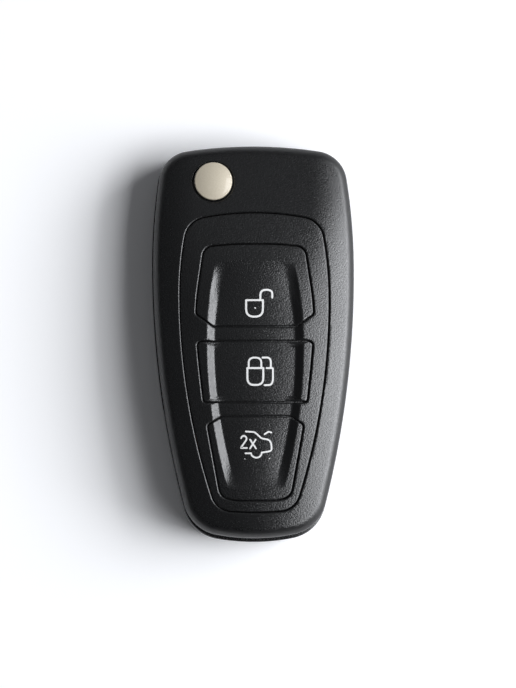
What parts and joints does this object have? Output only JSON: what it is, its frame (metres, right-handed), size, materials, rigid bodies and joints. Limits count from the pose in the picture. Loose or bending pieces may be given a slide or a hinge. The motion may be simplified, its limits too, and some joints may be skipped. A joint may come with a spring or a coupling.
{
  "type": "car key fob",
  "caption": "Remote key fob of a car with press keys in a domed case and a blade that folds out of its side on a sprung hub.",
  "frame": {"origin": "centre of the case's plan, on the rear face that it lies on", "axes": "+Y along the case towards the blade hub, +Z out of the key face, +X to the right seen from the key face"},
  "size_m": [0.0398, 0.078, 0.0154],
  "materials": {
    "housing": "fine spark-grained moulded surface",
    "keys": "fine spark-grained moulded surface",
    "silicone": "matte",
    "release": "satin metallic lacquer",
    "spring_steel": "drawn",
    "blade": "milled, satin",
    "board": "solder mask",
    "switch": "moulded",
    "chip": "moulded",
    "tin": "plated, satin",
    "chip_ceramic": "fired",
    "copper": "plated copper",
    "tray": "moulded"
  },
  "bodies": {
    "case": {"front_shell": "housing", "rear_shell": "housing", "button_panel": "keys", "keypad": "silicone", "circuit_board": "board", "tact_switches": "switch", "controller_chip": "chip", "radio_chip": "chip", "crystal": "tin", "chip_parts": "chip_ceramic", "antenna_loop": "copper", "coin_cell": "tin", "cell_clip": "tin", "cell_contact": "tin", "module_tray": "tray", "transponder": "chip", "keyring_bar": "spring_steel"},
    "key": {"blade_head": "housing", "key_blade": "blade", "blade_pin": "spring_steel", "flip_spring": "spring_steel"},
    "release": {"release_button": "release"},
    "unlock": {"unlock_button": "keys"},
    "lock": {"lock_button": "keys"},
    "boot": {"boot_button": "keys"}
  },
  "joints": [
    {"name": "key_flip", "type": "hinge", "parent": "case", "child": "key", "pos_m": [-0.0078, 0.0313, 0.007], "axis": [0, 0, -1], "range_deg": [0, 180]},
    {"name": "release_press", "type": "slide", "parent": "case", "child": "release", "axis": [0, 0, -1], "range_m": [0, 0.0024], "stiffness_N_per_m": 700, "deforming": ["flip_spring"]},
    {"name": "unlock_press", "type": "slide", "parent": "case", "child": "unlock", "axis": [0, 0, -1], "range_m": [0, 0.0006], "stiffness_N_per_m": 2500, "deforming": ["keypad"]},
    {"name": "lock_press", "type": "slide", "parent": "case", "child": "lock", "axis": [0, 0, -1], "range_m": [0, 0.0006], "stiffness_N_per_m": 2500, "deforming": ["keypad"]},
    {"name": "boot_press", "type": "slide", "parent": "case", "child": "boot", "axis": [0, 0, -1], "range_m": [0, 0.0006], "stiffness_N_per_m": 2500, "deforming": ["keypad"]}
  ]
}
